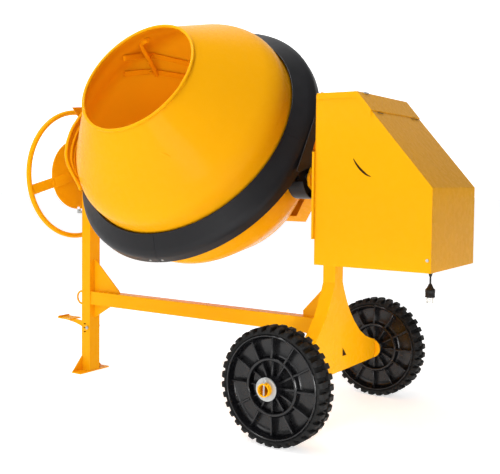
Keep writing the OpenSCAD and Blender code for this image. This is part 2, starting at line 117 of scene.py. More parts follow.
# %% Finish helper
def value_noise(tree, scale, detail, rough=0.5):
    """A noise in metres on the piece itself."""
    place = tree.nodes.get("place") or tree.nodes.new("ShaderNodeTexCoord")
    place.name = "place"
    noise = tree.nodes.new("ShaderNodeTexNoise")
    noise.inputs["Scale"].default_value = scale
    noise.inputs["Detail"].default_value = detail
    noise.inputs["Roughness"].default_value = rough
    tree.links.new(place.outputs["Object"], noise.inputs["Vector"])
    return noise.outputs["Fac"]


NOISE_LOW, NOISE_HIGH = 0.3, 0.7  # a noise texture hardly ever leaves this range


def ramp(tree, source, low, high):
    """Blends from the colour low to the colour high over the noise's range."""
    node = tree.nodes.new("ShaderNodeValToRGB")
    points = node.color_ramp.elements
    points[0].position, points[0].color = NOISE_LOW, (*low, 1)
    points[1].position, points[1].color = NOISE_HIGH, (*high, 1)
    tree.links.new(source, node.inputs["Fac"])
    return node.outputs["Color"]


def stretched(tree, source, low, high, start=NOISE_LOW, end=NOISE_HIGH):
    """Stretches source, from start to end, over low to high."""
    node = tree.nodes.new("ShaderNodeMapRange")
    node.inputs["From Min"].default_value = start
    node.inputs["From Max"].default_value = end
    node.inputs["To Min"].default_value = low
    node.inputs["To Max"].default_value = high
    tree.links.new(source, node.inputs["Value"])
    return node


COAT_ROUGH = 0.06
WEAR_SCALE = 38  # of the noise in the roughness


def shade(colour, factor):
    return tuple(min(1.0, c * factor) for c in colour)


def finish(name, colour, rough, patch, grain, metallic=0.0, coat=0.0, gloss=0.5):
    """A paint, plastic or metal.

    rough is the lowest and the highest roughness, patch is the scale and the depth of the colour patches, and
    grain is the scale and the height in metres of the bump.
    """
    made = bpy.data.materials.new(name)
    made.use_nodes = True
    tree = made.node_tree
    shader = tree.nodes["Principled BSDF"]
    shader.inputs["Metallic"].default_value = metallic
    shader.inputs["Coat Weight"].default_value = coat
    shader.inputs["Coat Roughness"].default_value = COAT_ROUGH
    shader.inputs["Specular IOR Level"].default_value = gloss
    base = value_noise(tree, patch[0], 4)
    tint = ramp(tree, base, shade(colour, 1 - patch[1]), shade(colour, 1 + patch[1] / 3))
    tree.links.new(tint, shader.inputs["Base Color"])
    wear = stretched(tree, value_noise(tree, WEAR_SCALE, 5, 0.6), *rough)
    tree.links.new(wear.outputs["Result"], shader.inputs["Roughness"])
    bump = tree.nodes.new("ShaderNodeBump")
    bump.inputs["Strength"].default_value = 1.0
    bump.inputs["Distance"].default_value = grain[1]
    tree.links.new(value_noise(tree, grain[0], 3), bump.inputs["Height"])
    tree.links.new(bump.outputs["Normal"], shader.inputs["Normal"])
    return made


# %% [markdown]
# The machine is sprayed in one amber yellow with a thin clear gloss. The inside of the drum and of the side
# shield get copies of that paint without the gloss, whose colours are painted light and shade: lighter inside
# the drum, darker inside the shield. The other finishes are what such a machine is put together from:
# moulded black plastic, tyre rubber, bright zinc, turned steel, cast iron and a little bronze.

# %% Finishes
YELLOW = (0.90, 0.405, 0.004)
PAINT = finish("amber_gloss_paint", YELLOW, (0.22, 0.32), (2.2, 0.02), (380, 0.000006), coat=0.04, gloss=0.03)
# painted light and shade: a lighter copy of the paint for the inside of the drum, set for how the inside is lit
INSIDE_LIGHT_AND_SHADE = finish(
    "drum_inside_paint", (0.95, 0.50, 0.006), (0.42, 0.55), (2.6, 0.05), (300, 0.00002), gloss=0.15
)
# painted shade: a darker copy of the paint for the faces of the side shield that look at the drum
SHADED = finish("shield_inside_painted_shade", (0.76, 0.31, 0.005), (0.40, 0.52), (3, 0.05), (300, 0.00002), gloss=0.15)
GUARD = finish(
    "black_guard_plastic", (0.010, 0.010, 0.012), (0.34, 0.46), (5, 0.2), (700, 0.00002), gloss=0.24
)
HUB = finish("black_hub_plastic", (0.006, 0.006, 0.007), (0.20, 0.30), (9, 0.3), (520, 0.00001), gloss=0.42)
RUBBER = finish("tyre_rubber", (0.006, 0.006, 0.006), (0.55, 0.75), (12, 0.35), (260, 0.0001), gloss=0.22)
BELT = finish("belt_rubber", (0.012, 0.012, 0.012), (0.55, 0.75), (20, 0.3), (600, 0.0001), gloss=0.3)
ZINC = finish("zinc_plate", (0.50, 0.52, 0.52), (0.42, 0.60), (30, 0.14), (900, 0.00002), metallic=0.85)
TURNED = finish("turned_steel", (0.52, 0.53, 0.55), (0.18, 0.34), (24, 0.1), (1400, 0.00002), metallic=1.0)
CAST = finish(
    "cast_iron", (0.020, 0.020, 0.022), (0.50, 0.70), (16, 0.25), (160, 0.0002), metallic=0.2, gloss=0.3
)
BRONZE = finish("bronze", (0.55, 0.34, 0.13), (0.26, 0.42), (30, 0.15), (800, 0.00003), metallic=1.0)
MOTOR = finish("motor_paint", (0.035, 0.045, 0.06), (0.35, 0.5), (8, 0.2), (240, 0.00006))
CABLE = finish("cable_plastic", (0.008, 0.008, 0.009), (0.42, 0.56), (30, 0.2), (900, 0.00004), gloss=0.3)
PINS = finish("plug_pin_metal", (0.55, 0.53, 0.48), (0.25, 0.4), (60, 0.1), (1500, 0.00002), metallic=1.0)
# painted shadow: a near-black brown for slots, slits and openings that are dark only with the shade inside them
PAINTED_SHADOW = finish("shadow_gap", (0.030, 0.008, 0.001), (0.6, 0.8), (40, 0.3), (500, 0.00001), gloss=0.1)
FINISH_OF = {
    "machine_paint": PAINT, "zinc_steel": ZINC, "cast_gear": CAST, "bright_steel": TURNED, "bronze": BRONZE,
    "black_guard": GUARD, "black_hub": HUB, "tyre_rubber": RUBBER, "belt_rubber": BELT, "motor_paint": MOTOR,
    "cable_plastic": CABLE, "plug_brass": PINS,
}
for part in frame["record"]["subparts"]:
    node = frame["nodes"][part["node"]]
    node.data.materials.clear()
    node.data.materials.append(FINISH_OF[part["material_slot"]])
print("finishes:", len(bpy.data.materials))

# %% [markdown]
# A piece is finished in one place: doubles are merged, normals are turned outwards, soft edges are shaded
# smooth and hard ones stay sharp. It then rides on its body and hides the frame nodes it stands for, and
# its finish comes from its slot unless one is given.

# %% Piece helper
def piece(name, bm, body, slot, stands_for=(), material=None, round_edge=0.0, sharp=35, round_steps=2):
    bmesh.ops.remove_doubles(bm, verts=bm.verts, dist=1e-6)
    bmesh.ops.recalc_face_normals(bm, faces=bm.faces)
    for face in bm.faces:
        face.smooth = True
    for edge in bm.edges:
        edge.smooth = len(edge.link_faces) != 2 or edge.calc_face_angle(0) < math.radians(sharp)
    mesh = bpy.data.meshes.new(name)
    bm.to_mesh(mesh)
    bm.free()
    mesh.materials.append(material or FINISH_OF[slot])
    obj = bpy.data.objects.new(name, mesh)
    bpy.context.scene.collection.objects.link(obj)
    if round_edge:
        bevel = obj.modifiers.new("edge", "BEVEL")
        bevel.width = round_edge
        bevel.segments = round_steps
        bevel.limit_method = "ANGLE"
        bevel.angle_limit = math.radians(sharp)
        bevel.harden_normals = True
    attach(obj, body)
    if stands_for:
        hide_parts(*stands_for)
    print(name, len(mesh.vertices), "points")
    return obj


# %% [markdown]
# Folded sheet and welded bar have small rounded edges that catch the light. Where a frame node already has
# the right shape, a copy of it is merged, its flat faces are joined again and its edges are rounded. The
# original stays as it is, hidden, for the physics.

# %% Rounded copies of frame nodes
def softened(node, body, slot, edge=0.0012, material=None):
    bm = bmesh.new()
    bm.from_mesh(frame["nodes"][node].data)
    bmesh.ops.remove_doubles(bm, verts=bm.verts, dist=2e-6)
    bmesh.ops.dissolve_limit(bm, angle_limit=math.radians(1), verts=bm.verts, edges=bm.edges)
    return piece(node + "_soft", bm, body, slot, [node], material, edge)


BODY_OF = {n: b for b, names in frame["record"]["behaviour"]["bodies"].items() for n in names}
SLOT_OF = {p["node"]: p["material_slot"] for p in frame["record"]["subparts"]}
for node, edge in {
    "left_column": 0.003, "right_column": 0.003, "beam": 0.003, "beam_gussets": 0.001, "foot_plate": 0.001,
    "axle_skirt": 0.0012, "bearing_left": 0.002, "bearing_right": 0.002, "back_plate": 0.001,
    "box_back": 0.0008, "yoke_channel": 0.0012, "trunnion_plates": 0.0015, "lock_disc": 0.001,
    "spindle_housing": 0.002, "guard_stays": 0.001, "motor_bracket": 0.001, "axle_collars": 0.0015,
    "wheel_washers": 0.0006, "pinion_cover": 0.0008, "foot_pedal": 0.001, "wheel_hub": 0.003,
    "bearing_bolts": 0.0006, "guard_bolts": 0.0005, "box_screws": 0.0006, "axle_tube": 0.0008,
}.items():
    softened(node, BODY_OF[node], SLOT_OF[node], edge)


# %% [markdown]
# Pressed and spun sheet starts as a line in the plane of the axis. The line gets rounded corners, a wall of
# even thickness, and is spun. A full turn closes on itself and a part turn gets a face at each end.

# %% Outline helpers
def rounded(points, radius, steps=5, closed=False):
    """The outline with each corner replaced by a short arc; radius is one number or one for each corner."""
    out = []
    count = len(points)
    for i, here in enumerate(points):
        here = Vector(here)
        size = radius[i] if hasattr(radius, "__len__") else radius
        if (not closed and i in (0, count - 1)) or size <= 0:
            out.append(here)
            continue
        back = Vector(points[i - 1]) - here
        ahead = Vector(points[(i + 1) % count]) - here
        size = min(size, back.length * 0.49, ahead.length * 0.49)
        start, end = here + back.normalized() * size, here + ahead.normalized() * size
        for k in range(steps + 1):
            t = k / steps
            out.append(start * (1 - t) ** 2 + here * 2 * t * (1 - t) + end * t * t)
    return out


def walled(line, thickness):
    """The closed outline of a sheet whose one side is the line."""
    shifted = []
    for i, here in enumerate(line):
        ways = []
        if i:
            ways.append((here - line[i - 1]).normalized())
        if i < len(line) - 1:
            ways.append((line[i + 1] - here).normalized())
        way = sum(ways, Vector((0, 0))).normalized()
        side = Vector((-way.y, way.x))
        cosine = max(0.5, side.dot(Vector((-ways[0].y, ways[0].x))))
        shifted.append(here + side * thickness / cosine)
    return line + shifted[::-1]


def turned(bm, outline, steps, start=0.0, sweep=360.0):
    """Spins a closed outline of (radius, height) points in mm round Z, from start through sweep degrees."""
    ring = [bm.verts.new((p[0] * MM, 0, p[1] * MM)) for p in outline]
    edges = [bm.edges.new((ring[i - 1], ring[i])) for i in range(len(ring))]
    whole = sweep >= 360
    if start:
        bmesh.ops.rotate(bm, verts=ring, matrix=Matrix.Rotation(math.radians(start), 3, "Z"))
    if not whole:
        bm.faces.new(ring)
    made = bmesh.ops.spin(
        bm, geom=ring + edges, cent=(0, 0, 0), axis=(0, 0, 1), angle=math.radians(sweep), steps=steps,
        use_merge=whole,
    )
    if not whole:
        last = [e for e in made["geom_last"] if isinstance(e, bmesh.types.BMEdge)]
        bmesh.ops.contextual_create(bm, geom=last)
    return bm


def moved(bm, matrix):
    bmesh.ops.transform(bm, matrix=matrix, verts=bm.verts)
    return bm


def block(bm, size, matrix):
    """A box of that size round the matrix's origin."""
    made = bmesh.ops.create_cube(bm, size=1)
    bmesh.ops.scale(bm, vec=size, verts=made["verts"])
    bmesh.ops.transform(bm, matrix=matrix, verts=made["verts"])
    return made["verts"]


def absorb(bm, spare):
    """Adds the spare bmesh to bm and frees it."""
    part = bpy.data.meshes.new("part")
    spare.to_mesh(part)
    spare.free()
    bm.from_mesh(part)


def ease(bm, verts, width, segments=2, edges=None):
    """Rounds the edges of a block by width in metres."""
    bmesh.ops.bevel(
        bm, geom=edges or list({e for v in verts for e in v.link_edges}), offset=width, segments=segments,
        profile=0.5, affect="EDGES", material=-1, clamp_overlap=edges is not None,
    )


def plate(bm, points, depth):
    """A flat outline in X and Y in mm, extruded up through depth in mm."""
    corners = [bm.verts.new((p[0] * MM, p[1] * MM, 0)) for p in points]
    face = bm.faces.new(corners)
    up = bmesh.ops.extrude_face_region(bm, geom=[face])
    risen = [v for v in up["geom"] if isinstance(v, bmesh.types.BMVert)]
    bmesh.ops.translate(bm, vec=(0, 0, depth * MM), verts=risen)
    return bm


def bridged(bm, rings):
    """Joins each ring of points to the next one with faces."""
    for low, high in zip(rings, rings[1:]):
        for k in range(len(low)):
            bm.faces.new((low[k - 1], low[k], high[k], high[k - 1]))


def swept(bm, path, section, up, closed=False):
    """Carries a closed section of (side, up) offsets along a path of points."""
    rings = []
    count = len(path)
    for i, here in enumerate(path):
        before = path[i - 1] if i or closed else here
        after = path[(i + 1) % count] if i < count - 1 or closed else here
        along = (after - before).normalized()
        side = along.cross(up).normalized()
        rise = side.cross(along)
        rings.append([bm.verts.new(here + side * a + rise * b) for a, b in section])
    bridged(bm, rings + rings[:1] if closed else rings)
    if not closed:
        bm.faces.new(rings[0][::-1])
        bm.faces.new(rings[-1])
    return bm


def circle(radius, count):
    angles = [2 * math.pi * k / count for k in range(count)]
    return [(radius * math.cos(a), radius * math.sin(a)) for a in angles]


# %% [markdown]
# The drum is two spun cones joined by a straight band. The front cone ends in a mouth with a rolled bead, and
# the foot of the cone runs into the band in a wide soft bend, which is why the light slides round it without
# a line. Each half has a flange at the band, and the ring gear is bolted between them.

# %% Drum
DRUM_STEPS = 160
MOUTH_R, BAND_R, SHEET = 229, 442, 4
cone_line = rounded(
    [(BAND_R, 106), (BAND_R, 240), (418, 287), (MOUTH_R + 3, 482), (MOUTH_R - 1, 489)], [0, 60, 50, 4, 0], 8
)
bm = turned(bmesh.new(), walled(cone_line, SHEET), DRUM_STEPS)
piece("drum_front", moved(bm, DRUM), "drum", "machine_paint", ["drum_cone"])

front_flange = [(BAND_R - 2, 106.2), (498, 106.2), (500, 108), (500, 110), (498, 112), (BAND_R - 2, 112)]
bm = turned(bmesh.new(), front_flange, DRUM_STEPS)
piece("drum_front_flange", moved(bm, DRUM), "drum", "machine_paint")

bowl_line = rounded(
    [(26, -342), (190, -340), (262, -310), (433, -92), (BAND_R, -60), (BAND_R, 106)],
    [0, 40, 40, 40, 40, 0], 8,
)
bm = turned(bmesh.new(), walled(bowl_line, SHEET), DRUM_STEPS)
piece("drum_back", moved(bm, DRUM), "drum", "machine_paint", ["drum_bowl"])

back_flange = [(BAND_R - 2, 100), (498, 100), (500, 102), (500, 104), (498, 105.8), (BAND_R - 2, 105.8)]
bm = turned(bmesh.new(), back_flange, DRUM_STEPS)
piece("drum_back_flange", moved(bm, DRUM), "drum", "machine_paint")

bead = [(MOUTH_R - 1 + 6 * a, 490 + 6 * b) for a, b in circle(1, 16)]
bm = turned(bmesh.new(), bead, DRUM_STEPS)
piece("drum_mouth_bead", moved(bm, DRUM), "drum", "machine_paint", ["mouth_lip"])

# %% [markdown]
# The inside of the drum gets a lighter copy of the paint, its colour painted light and shade for the inside.
# A material index on the faces that look at the axis gives them that painted colour.

# %% Drum inside, painted light and shade
def inside_painted_light_and_shade(obj, matrix, material=INSIDE_LIGHT_AND_SHADE):
    """Faces that look towards the local Z axis get the painted light and shade of the inside."""
    obj.data.materials.append(material)
    back = matrix.inverted()
    turn = back.to_3x3()
    count = 0
    for face in obj.data.polygons:
        centre = back @ face.center
        normal = turn @ face.normal
        if Vector((centre.x, centre.y)).dot(Vector((normal.x, normal.y))) < 0:
            face.material_index = 1
            count += 1
    print(obj.name, "inside faces", count)


for name in ("drum_front", "drum_back"):
    inside_painted_light_and_shade(bpy.data.objects[name], DRUM)

# %% [markdown]
# The blades that turn the mix over are flat bars, bent twice and held on short studs, with one round rod
# bent into a hook. Each is a section carried along a line. The second set is the first one turned half round.

# %% Mixing blades
UPPER_BAR = [(-236, 190, 386), (-268, 318, 252), (-250, 345, 205), (-190, 384, 112)]
LOWER_BAR = [(-352, 224, 260), (-306, 292, 185), (-268, 330, 118), (-220, 364, 50)]
HOOK_ROD = [(-296, 300, 150), (-262, 290, 220), (-215, 270, 330), (-196, 262, 366), (-180, 258, 384),
            (-158, 256, 396), (-136, 256, 400)]
STUDS = [(115.6, 118, 415), (129.2, 246, 408), (136, 183, 410), (120.8, 54, 412)]  # angle, height, inner end


def smooth_path(points, parts=6):
    """A flowing line through the points."""
    pts = [Vector(p) * MM for p in points]
    out = []
    for i in range(len(pts) - 1):
        a, b = pts[max(i - 1, 0)], pts[i]
        c, d = pts[i + 1], pts[min(i + 2, len(pts) - 1)]
        for k in range(parts):
            t = k / parts
            square = (2 * a - 5 * b + 4 * c - d) * t * t
            cube = (3 * b - a - 3 * c + d) * t ** 3
            out.append(0.5 * ((2 * b) + (c - a) * t + square + cube))
    return out + [pts[-1]]


bm = bmesh.new()
FLAT = [(-5 * MM, -10 * MM), (5 * MM, -10 * MM), (5 * MM, 10 * MM), (-5 * MM, 10 * MM)]
for half in (0, 180):
    spare = bmesh.new()
    swept(spare, smooth_path(UPPER_BAR), FLAT, Vector((0, 0.2, 1)))
    swept(spare, smooth_path(LOWER_BAR), FLAT, Vector((0, 0.2, 1)))
    swept(spare, smooth_path(HOOK_ROD), circle(9.5 * MM, 14), Vector((0, 1, 0.1)))
    for angle, height, inner in STUDS:
        outer = 436 if height < 200 else 428
        turn = Matrix.Rotation(math.radians(angle), 4, "Z")
        reach = Matrix.Translation(Vector(((outer + inner) / 2, 0, height)) * MM)
        block(spare, Vector((outer - inner, 10, 10)) * MM, turn @ reach)
    bmesh.ops.rotate(spare, verts=spare.verts, matrix=Matrix.Rotation(math.radians(half), 3, "Z"))
    absorb(bm, spare)
piece("mixing_blades", moved(bm, DRUM), "drum", "machine_paint", ["blade_bars"], round_edge=0.001)

# %% [markdown]
# The gear guard is vacuum-formed black plastic in three lengths and one painted steel length on the
# handwheel side. Its section starts at the drum, rises outwards over the teeth and folds down the rim. The
# fold is soft, and each length ends in a seam that laps the next one.

# %% Gear guard
GUARD_LINE = [(450, 170), (500, 134), (513, 119), (513, 83)]
guard_section = walled(rounded(GUARD_LINE, [0, 18, 16, 0], 5), 3)


def guard(name, start, sweep, node):
    """One black length, with a bead along its inner edge and a hem along its outer one."""
    bead = [(450 + a, 171 + b) for a, b in circle(3.2, 10)]
    hem = [(513.5 + a, 84.5 + b) for a, b in circle(2.4, 8)]
    bm = bmesh.new()
    for outline in (guard_section, bead, hem):
        turned(bm, outline, max(8, int(sweep / 2)), start, sweep)
    piece(name, moved(bm, DRUM), "yoke", "black_guard", [node], sharp=50)


guard("guard_upper_shell", -2, 157, "guard_upper")
guard("guard_right_shell", -85, 82.7, "guard_right")
guard("guard_lower_shell", -150, 64.7, "guard_lower")

# %% [markdown]
# On the handwheel side the guard is steel, with a raised shield that keeps a hand off the drum. The shield is
# one curved sheet. Its height follows a smooth outline, so it is built as a closed strip of points along the
# arc. A rolled edge and two pressed ribs follow the same outline and are one piece of their own.

# %% Side shield
SHIELD_EDGE = [(-262, 122), (-234, 147), (-201, 207), (-168, 238), (-107, 250), (-36, 252), (54, 240),
               (120, 215), (180, 160), (222, 130)]  # across the drum, height along its axis
SHIELD_R, SHIELD_WALL, SHIELD_FOOT = 512, 3, 84


def shield_height(y):
    """The height of the edge at y, in mm."""
    for (y0, s0), (y1, s1) in zip(SHIELD_EDGE, SHIELD_EDGE[1:]):
        if y <= y1:
            t = max(0.0, (y - y0) / (y1 - y0))
            return s0 + (s1 - s0) * t
    return SHIELD_EDGE[-1][1]


def on_arc(angle, radius, height):
    """The point in metres at that angle in degrees, radius and height in mm."""
    a = math.radians(angle)
    return Vector((radius * math.cos(a), radius * math.sin(a), height)) * MM


bm = turned(bmesh.new(), guard_section, 30, 155.3, 54.4)
arc = [155.5 + 54 * k / 60 for k in range(61)]
edge = [shield_height(514 * math.sin(math.radians(a))) for a in arc]
nearby = [edge[max(0, i - 2):i + 3] for i in range(len(edge))]
heights = [sum(near) / len(near) for near in nearby]
rows = []
for a, top in zip(arc, heights):
    levels = [SHIELD_FOOT, 120, (120 + top) / 2, top]
    section = [(SHIELD_R, s) for s in levels] + [(SHIELD_R + SHIELD_WALL, s) for s in levels[::-1]]
    rows.append([bm.verts.new(on_arc(a, r, s)) for r, s in section])
bridged(bm, rows)
bm.faces.new(rows[0])
bm.faces.new(rows[-1])
EAR = [(8, 205), (8, 240), (26, 247), (39, 294), (112, 199), (60, 190)]
ear = bmesh.new()
plate(ear, EAR, 4)
moved(ear, axes(Y_AXIS, Z_AXIS, X_AXIS, Vector((-517, 0, 0)) * MM))
absorb(bm, ear)
shield = piece("guard_side_shield", moved(bm, DRUM), "yoke", "machine_paint", ["guard_left"], sharp=50)
# painted shade: the shield's faces that look at the drum get the darker copy of the paint
inside_painted_light_and_shade(shield, DRUM, SHADED)

bm = bmesh.new()
for drop, radius, size, ends in ((1, 513, 6.5, 0), (27, 509, 5, 6), (47, 510, 3, 9)):
    crest = [on_arc(a, radius, max(124, top - drop)) for a, top in zip(arc, heights)]
    swept(bm, crest[ends:len(crest) - ends], circle(size * MM, 10), Z_AXIS)
piece("guard_shield_beads", moved(bm, DRUM), "yoke", "machine_paint", sharp=50)

# %% [markdown]
# A narrow dark strip laps each of the three seams that show.

# %% Guard laps
bm = bmesh.new()
lap_line = rounded([(452, 171.5), (501, 136), (515, 120), (515, 86)], [0, 18, 16, 0], 5)
lap_section = walled(lap_line, 1.5)
for seam in (-86.4, -3.4, 152.6):
    turned(bm, lap_section, 3, seam, 3.0)
piece("guard_laps", moved(bm, DRUM), "yoke", "black_guard", sharp=50)

# %% [markdown]
# A wheel is one black moulding: a hub, a thin disc, two proud rings and twelve ribs between each pair of
# rings. The disc sweeps up into the outer ring, and the ribs have rounded backs that fall towards the outer
# ring. The rings and the disc are one turned outline, and a rib is a beveled block made once and turned.

# %% Wheel mouldings
RIBS = 12
RIB_WIDTH, RIB_FOOT, RIB_FALL = 7.5, 5, 5


def wheel_outline(side):
    """The moulding's section on one side, from the hub out; side is 1 for the outer face."""
    hub_top = 56 if side > 0 else 42
    hub = [(21.4, hub_top - 1), (22.5, hub_top), (32, hub_top), (34, hub_top - 2), (36, 14), (40, 8.5)]
    disc = [(46, 7.5), (74, 7.5), (79, 9)]
    inner_ring = [(82, 14), (83, 30.5), (85, 32.5), (89.5, 32.5), (91.5, 30.5), (92.5, 14), (96, 9)]
    dish = [(101, 7.5), (134, 7.5), (146, 9), (152, 13), (155, 20)]
    outer_ring = [(157.5, 34), (158.6, 39.0), (160, 40.6), (162.8, 40.6), (164.7, 38.5)]
    return hub + disc + inner_ring + dish + outer_ring


def wheel(name, matrix, body, node):
    top = wheel_outline(1)
    under = [(r, -h) for r, h in wheel_outline(-1)]
    bm = turned(bmesh.new(), top + under[::-1], 96)
    for k in range(RIBS):
        turn = Matrix.Rotation(math.radians(360 / RIBS * k), 4, "Z")
        for side in (1, -1):
            for inner, outer, high in ((91, 156, 33), (34, 84, 29)):
                middle = Vector(((inner + outer) / 2, 0, side * (RIB_FOOT + high) / 2))
                size = Vector((outer - inner, RIB_WIDTH, high - RIB_FOOT))
                verts = block(bm, size * MM, turn @ Matrix.Translation(middle * MM))
                ends = [v for v in verts if (turn.inverted() @ v.co).x > outer * MM - 1e-5]
                tops = [v for v in ends if abs(v.co.z) > high * MM - 1e-5]
                bmesh.ops.translate(bm, verts=tops, vec=(0, 0, -side * RIB_FALL * MM))
                edges = {e for v in verts for e in v.link_edges}
                ridge = [e for e in edges if all(abs(w.co.z) > RIB_FOOT * MM + 1e-4 for w in e.verts)]
                ease(bm, verts, 3.2 * MM, 3, ridge)
    piece(name, moved(bm, matrix), body, "black_hub", [node], sharp=40)


wheel("near_wheel_moulding", NEAR, "near_wheel", "near_wheel")
wheel("far_wheel_moulding", FAR, "far_wheel", "far_wheel")

# %% [markdown]
# The solid tyre has a round-shouldered carcass and two rows of chunky lugs, staggered by half a step. A lug
# wraps over the shoulder, so its section is drawn across the tyre and carried a short way round it.

# %% Tyres
LUGS = 35
LUG = [(171, 3), (188.6, 4), (188.8, 29), (185, 37), (178, 41.8), (171, 41.8)]  # radius, height on one side
LUG_STEPS = [(-0.050, 2.4), (-0.041, 0.2), (0.041, 0.2), (0.050, 2.4)]  # radians round the tyre, shrink


def lug_point(radius, height, side, shrink):
    """A corner of the lug, drawn in where it is proud of the carcass."""
    if height > 35:
        height -= shrink
    elif height < 5:
        height += shrink
    return Vector((radius - (shrink if radius > 175 else 0), 0, side * height)) * MM


def tyre(name, matrix, body, node):
    outline = rounded(
        [(165, 36), (169, 40.5), (174, 39), (177, 30), (177, -30), (174, -39), (169, -40.5), (165, -36)],
        [0, 3, 4, 6, 6, 4, 3, 0], 3,
    )
    bm = turned(bmesh.new(), outline, 105)
    for k in range(LUGS):
        for side, shift in ((1, 0.0), (-1, 0.5)):
            centre = math.radians((k + shift) * 360 / LUGS)
            rings = []
            for angle, shrink in LUG_STEPS:
                turn = Matrix.Rotation(centre + angle, 3, "Z")
                rings.append([bm.verts.new(turn @ lug_point(r, h, side, shrink)) for r, h in LUG])
            bridged(bm, rings)
            bm.faces.new(rings[0][::-1])
            bm.faces.new(rings[-1])
    piece(name, moved(bm, matrix), body, "tyre_rubber", [node], sharp=32)


tyre("near_tyre_tread", NEAR, "near_wheel", "near_tyre")
tyre("far_tyre_tread", FAR, "far_wheel", "far_tyre")

# %% [markdown]
# A split pin is a straight double wire with an eye at the top. Its parts are swept lines, like the tow loop,
# and the ring of the handwheel is a turned circle.

# %% Split pins, tow loop and handwheel ring
bm = bmesh.new()
pin_lo, pin_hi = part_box("split_pins")
for side, y in ((-1, pin_lo.y + 3 * MM), (1, pin_hi.y - 3 * MM)):
    foot = Vector((near_axle.x, y, near_axle.z))
    legs = [Vector((0, 0, -26)), Vector((0, 0, 24))]
    angles = [math.radians(18 * k) for k in range(20)]
    eye = [Vector((6 * math.sin(a), 0, 31 - 6 * math.cos(a))) for a in angles]
    swept(bm, [foot + p * MM for p in legs], circle(2.9 * MM, 10), X_AXIS)
    swept(bm, [foot + p * MM for p in eye], circle(2.0 * MM, 8), Y_AXIS, closed=True)
piece("split_pin_wires", bm, "frame", "zinc_steel", ["split_pins"])

loop_lo, loop_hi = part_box("tow_loop")
loop_z, loop_y = (loop_lo.z + loop_hi.z) / 2, (loop_lo.y + loop_hi.y) / 2
rod_r = 4 * MM
bend_r = (loop_hi.z - loop_lo.z) / 2 - rod_r
bend_x = loop_lo.x + rod_r + bend_r
path = [Vector((loop_hi.x, loop_y, loop_z + bend_r))]
path += [
    Vector((bend_x - bend_r * math.sin(a), loop_y, loop_z + bend_r * math.cos(a)))
    for a in (math.radians(9 * k) for k in range(21))
]
path += [Vector((loop_hi.x, loop_y, loop_z - bend_r))]
bm = swept(bmesh.new(), path, circle(rod_r, 14), Y_AXIS)
piece("tow_loop_rod", bm, "frame", "machine_paint", ["tow_loop"])

TUBE_R = 10.5
ring_r = (ring_hi.z - ring_lo.z) / 2 / MM - TUBE_R
tube = [(ring_r + a, b) for a, b in circle(TUBE_R, 20)]
bm = turned(bmesh.new(), tube, 120)
piece("handwheel_ring", moved(bm, HAND), "yoke", "machine_paint", ["wheel_rim_ring"])

# %% [markdown]
# Three flat-bar spokes with rounded edges run from the hub to the ring. On the other side of the locking disc
# a thinner flat continues each of them over the disc's face.

# %% Handwheel spokes
SPOKES = (195, 315, 75)
SPOKE_WIDTH, SPOKE_DEPTH, FLAT_LENGTH, FLAT_DEPTH = 42, 8, 104, 2.5
disc_face = (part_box("lock_disc")[1].x - HAND.translation.x) / MM
bm = bmesh.new()
for angle in SPOKES:
    turn = Matrix.Rotation(math.radians(angle), 4, "Z")
    inner, outer = 31, ring_r - 8
    for length, depth, middle, edge in (
        (outer - inner, SPOKE_DEPTH, ((inner + outer) / 2, 0, 0), 2),
        (FLAT_LENGTH, FLAT_DEPTH, (86, 0, disc_face + FLAT_DEPTH / 2), 0.8),
    ):
        bar = block(
            bm, Vector((length, SPOKE_WIDTH, depth)) * MM, turn @ Matrix.Translation(Vector(middle) * MM)
        )
        ease(bm, bar, edge * MM)
piece("handwheel_spokes", moved(bm, HAND), "yoke", "machine_paint", ["wheel_spokes"])


# %% [markdown]
# The motor box is folded from thin sheet, and a lid sits over its top, a little proud. Both keep the shape of
# their frame nodes, with their folds rounded.

# %% Box cover and lid
softened("box_cover", "frame", "machine_paint", 0.0022)
softened("box_lid", "lid", "machine_paint", 0.0014)

# %% [markdown]
# Small things tell the size of the box: two slots in the slope, a catch on the ridge and a pressed louvre in
# each side. Each is its own thin piece just proud of the sheet.

# %% Box details
SLOPE_TOP = (177, 1114)
SLOPE_END = (433, 814)


def slope_x(z):
    """Where the sloping face is at height z, in mm."""
    run, rise = SLOPE_END[0] - SLOPE_TOP[0], SLOPE_TOP[1] - SLOPE_END[1]
    return SLOPE_TOP[0] + (SLOPE_TOP[1] - z) * run / rise


slope_run = Vector((SLOPE_END[0] - SLOPE_TOP[0], 0, SLOPE_END[1] - SLOPE_TOP[1])).normalized()
slope_out = Vector((-slope_run.z, 0, slope_run.x))


def on_slope(z, y, out):
    """The point in metres on the slope at that height and Y, moved out of it by out; all in mm."""
    return ORIGIN + Vector((slope_x(z), 0, z)) * MM + Vector((0, y * MM, 0)) + slope_out * out * MM


# painted shadow: the two slots are thin dark pieces that stand for the shade inside them
bm = bmesh.new()
for y0, y1 in ((-162, -121), (106, 169)):
    middle = on_slope(1047, (y0 + y1) / 2, 0.1)
    block(bm, Vector((y1 - y0, 2.6, 0.6)) * MM, axes(Y_AXIS, slope_run, Y_AXIS.cross(slope_run), middle))
piece("box_hinge_slots", bm, "frame", "machine_paint", material=PAINTED_SHADOW)

bm = bmesh.new()
catch = block(bm, Vector((16, 34, 5)) * MM, Matrix.Translation(ORIGIN + Vector((176, -139, 1113)) * MM))
ease(bm, catch, 1.5 * MM)
piece("box_catch", bm, "lid", "zinc_steel")


# %% [markdown]
# The louvre reads as a thin dark curved line, widest in its middle. The line is painted shadow, a dark piece
# for the shade in the slit.

# %% Louvre
LOUVRE_LINE = [(168, 902), (176, 889), (188, 874), (202, 861), (216, 851), (229, 846)]


